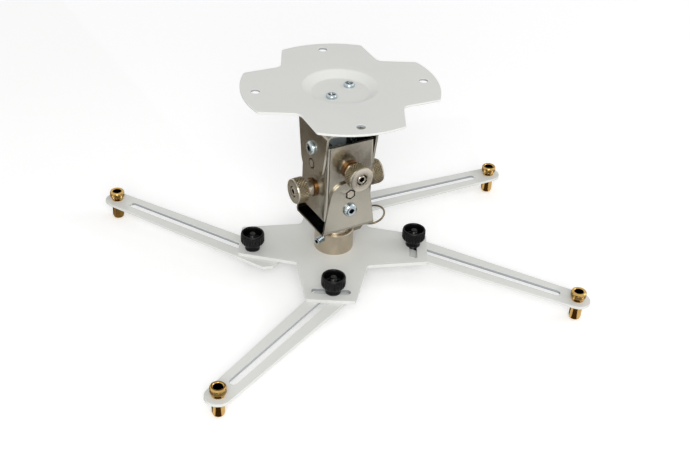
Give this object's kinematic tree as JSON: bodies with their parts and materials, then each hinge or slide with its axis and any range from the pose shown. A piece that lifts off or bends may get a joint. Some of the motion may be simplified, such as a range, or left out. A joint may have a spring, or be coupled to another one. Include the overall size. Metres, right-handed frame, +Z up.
{
  "type": "projector ceiling mount",
  "caption": "Ceiling mount for a projector: cross shaped plate, two-axis head with thumb screws, swivelling hub and slotted swinging arms with hollow brass screws.",
  "frame": {"origin": "centre of the ceiling plate's top face", "axes": "+Z up to the ceiling, X along the tilt pivots, Y along the roll pivots; the picture's front is about 31 degrees to the left of -Y"},
  "size_m": [0.3809, 0.3266, 0.1722],
  "materials": {
    "white_paint": "semi-gloss warm white powder coat",
    "nickel": "satin nickel plate",
    "dark_nickel": "dark nickel plate",
    "zinc": "bright blue zinc plate",
    "bronze": "oiled bronze",
    "brass": "turned and knurled brass",
    "black_plastic": "moulded black plastic"
  },
  "bodies": {
    "ceiling": {"ceiling_plate": "white_paint", "ceiling_spacer": "zinc", "ceiling_screws": "zinc", "ceiling_nuts": "zinc", "upper_bracket": "nickel"},
    "head": {"head_tube": "nickel", "tilt_pivot_screws": "zinc", "roll_pivot_screws": "zinc", "tilt_pivot_nuts": "zinc", "roll_pivot_nuts": "zinc", "tilt_thrust_washers": "bronze", "roll_thrust_washers": "bronze"},
    "tilt_drive": {"tilt_screw": "zinc", "tilt_knob_front": "nickel", "tilt_knob_back": "nickel", "tilt_lock_nuts": "zinc"},
    "tilt_nut": {"tilt_trunnion": "nickel"},
    "roll_drive": {"roll_screw": "zinc", "roll_knob_left": "nickel", "roll_knob_right": "nickel", "roll_lock_nuts": "zinc"},
    "roll_nut": {"roll_trunnion": "nickel"},
    "roll_frame": {"lower_bracket": "nickel", "swivel_post": "nickel"},
    "hub": {"hub_plate": "white_paint", "collar": "nickel", "hub_screws": "zinc", "plunger_body": "dark_nickel"},
    "clamp_screw": {"set_screw": "zinc"},
    "plunger": {"plunger_pin": "dark_nickel"},
    "ring": {"pull_ring": "dark_nickel"},
    "slot_washer_1": {"clamp_washer_1": "zinc"},
    "bolt_1": {"clamp_bolt_1": "zinc"},
    "knob_1": {"clamp_knob_1": "black_plastic"},
    "swing_arm_1": {"arm_1": "white_paint"},
    "brass_screw_1": {"brass_head_1": "brass", "brass_leg_1": "brass"},
    "slot_washer_2": {"clamp_washer_2": "zinc"},
    "bolt_2": {"clamp_bolt_2": "zinc"},
    "knob_2": {"clamp_knob_2": "black_plastic"},
    "swing_arm_2": {"arm_2": "white_paint"},
    "brass_screw_2": {"brass_head_2": "brass", "brass_leg_2": "brass"},
    "slot_washer_3": {"clamp_washer_3": "zinc"},
    "bolt_3": {"clamp_bolt_3": "zinc"},
    "knob_3": {"clamp_knob_3": "black_plastic"},
    "swing_arm_3": {"arm_3": "white_paint"},
    "brass_screw_3": {"brass_head_3": "brass", "brass_leg_3": "brass"},
    "slot_washer_4": {"clamp_washer_4": "zinc"},
    "bolt_4": {"clamp_bolt_4": "zinc"},
    "knob_4": {"clamp_knob_4": "black_plastic"},
    "swing_arm_4": {"arm_4": "white_paint"},
    "brass_screw_4": {"brass_head_4": "brass", "brass_leg_4": "brass"}
  },
  "joints": [
    {"name": "tilt", "type": "hinge", "parent": "ceiling", "child": "head", "pos_m": [0, 0, -0.0502], "axis": [1, 0, 0], "range_deg": [-8, 8]},
    {"name": "tilt_knob_turn", "type": "hinge", "parent": "head", "child": "tilt_drive", "pos_m": [0, 0, -0.0647], "axis": [0, 1, 0], "range_deg": [-590, 590]},
    {"name": "tilt_nut_travel", "type": "slide", "parent": "head", "child": "tilt_nut", "axis": [0, 1, 0], "range_m": [-0.0021, 0.0021]},
    {"name": "roll", "type": "hinge", "parent": "head", "child": "roll_frame", "pos_m": [0, 0, -0.1018], "axis": [0, 1, 0], "range_deg": [-8, 8]},
    {"name": "roll_knob_turn", "type": "hinge", "parent": "head", "child": "roll_drive", "pos_m": [0, 0, -0.0873], "axis": [1, 0, 0], "range_deg": [-590, 590]},
    {"name": "roll_nut_travel", "type": "slide", "parent": "head", "child": "roll_nut", "axis": [1, 0, 0], "range_m": [-0.0021, 0.0021]},
    {"name": "swivel", "type": "hinge", "parent": "roll_frame", "child": "hub", "pos_m": [0, 0, -0.1368], "axis": [0, 0, 1], "continuous": true},
    {"name": "set_screw_turn", "type": "hinge", "parent": "hub", "child": "clamp_screw", "pos_m": [-0.01854, -0.00749, -0.1368], "axis": [-0.9272, -0.3746, 0], "range_deg": [-720, 60]},
    {"name": "plunger_pull", "type": "slide", "parent": "hub", "child": "plunger", "axis": [0.9976, 0.0698, 0], "range_m": [0, 0.0035], "stiffness_N_per_m": 400, "springref_m": -0.005},
    {"name": "ring_swing", "type": "hinge", "parent": "plunger", "child": "ring", "pos_m": [0.02873, 0.00201, -0.1368], "axis": [0.0698, -0.9976, 0], "range_deg": [-50, 25]},
    {"name": "slot_slide_1", "type": "slide", "parent": "hub", "child": "slot_washer_1", "axis": [0.5075, 0.8616, 0], "range_m": [-0.0181, 0.0071]},
    {"name": "arm_swing_1", "type": "hinge", "parent": "slot_washer_1", "child": "bolt_1", "pos_m": [0.06181, -0.03003, -0.154], "axis": [0, 0, 1], "range_deg": [-40, 40]},
    {"name": "arm_slide_1", "type": "slide", "parent": "bolt_1", "child": "swing_arm_1", "axis": [0.5548, -0.832, 0], "range_m": [-0.032, 0.0074]},
    {"name": "knob_turn_1", "type": "hinge", "parent": "bolt_1", "child": "knob_1", "pos_m": [0.06181, -0.03003, -0.151], "axis": [0, 0, 1], "range_deg": [0, 720]},
    {"name": "brass_turn_1", "type": "hinge", "parent": "swing_arm_1", "child": "brass_screw_1", "pos_m": [0.14426, -0.15366, -0.154], "axis": [0, 0, 1], "continuous": true},
    {"name": "slot_slide_2", "type": "slide", "parent": "hub", "child": "slot_washer_2", "axis": [-0.8616, 0.5075, 0], "range_m": [-0.0001, 0.0251]},
    {"name": "arm_swing_2", "type": "hinge", "parent": "slot_washer_2", "child": "bolt_2", "pos_m": [0.04554, 0.05268, -0.154], "axis": [0, 0, 1], "range_deg": [-40, 40]},
    {"name": "arm_slide_2", "type": "slide", "parent": "bolt_2", "child": "swing_arm_2", "axis": [0.9984, -0.0558, 0], "range_m": [-0.032, 0.0072]},
    {"name": "knob_turn_2", "type": "hinge", "parent": "bolt_2", "child": "knob_2", "pos_m": [0.04554, 0.05268, -0.151], "axis": [0, 0, 1], "range_deg": [0, 720]},
    {"name": "brass_turn_2", "type": "hinge", "parent": "swing_arm_2", "child": "brass_screw_2", "pos_m": [0.1941, 0.04437, -0.154], "axis": [0, 0, 1], "continuous": true},
    {"name": "slot_slide_3", "type": "slide", "parent": "hub", "child": "slot_washer_3", "axis": [-0.5075, -0.8616, 0], "range_m": [-0.0244, 0.0008]},
    {"name": "arm_swing_3", "type": "hinge", "parent": "slot_washer_3", "child": "bolt_3", "pos_m": [-0.06501, 0.0246, -0.154], "axis": [0, 0, 1], "range_deg": [-40, 40]},
    {"name": "arm_slide_3", "type": "slide", "parent": "bolt_3", "child": "swing_arm_3", "axis": [-0.5015, 0.8652, 0], "range_m": [-0.032, 0.0088]},
    {"name": "knob_turn_3", "type": "hinge", "parent": "bolt_3", "child": "knob_3", "pos_m": [-0.06501, 0.0246, -0.151], "axis": [0, 0, 1], "range_deg": [0, 720]},
    {"name": "brass_turn_3", "type": "hinge", "parent": "swing_arm_3", "child": "brass_screw_3", "pos_m": [-0.13883, 0.15195, -0.154], "axis": [0, 0, 1], "continuous": true},
    {"name": "slot_slide_4", "type": "slide", "parent": "hub", "child": "slot_washer_4", "axis": [0.8616, -0.5075, 0], "range_m": [-0.0142, 0.011]},
    {"name": "arm_swing_4", "type": "hinge", "parent": "slot_washer_4", "child": "bolt_4", "pos_m": [-0.03339, -0.05983, -0.154], "axis": [0, 0, 1], "range_deg": [-40, 40]},
    {"name": "arm_slide_4", "type": "slide", "parent": "bolt_4", "child": "swing_arm_4", "axis": [-0.8862, -0.4633, 0], "range_m": [-0.032, 0.0065]},
    {"name": "knob_turn_4", "type": "hinge", "parent": "bolt_4", "child": "knob_4", "pos_m": [-0.03339, -0.05983, -0.151], "axis": [0, 0, 1], "range_deg": [0, 720]},
    {"name": "brass_turn_4", "type": "hinge", "parent": "swing_arm_4", "child": "brass_screw_4", "pos_m": [-0.16588, -0.1291, -0.154], "axis": [0, 0, 1], "continuous": true}
  ],
  "couplings": [
    {"joint": "tilt_nut_travel", "follows": "tilt", "m_per_rad": -0.0145},
    {"joint": "tilt_knob_turn", "follows": "tilt", "ratio": 72.885},
    {"joint": "roll_nut_travel", "follows": "roll", "m_per_rad": 0.0145},
    {"joint": "roll_knob_turn", "follows": "roll", "ratio": -72.885}
  ]
}
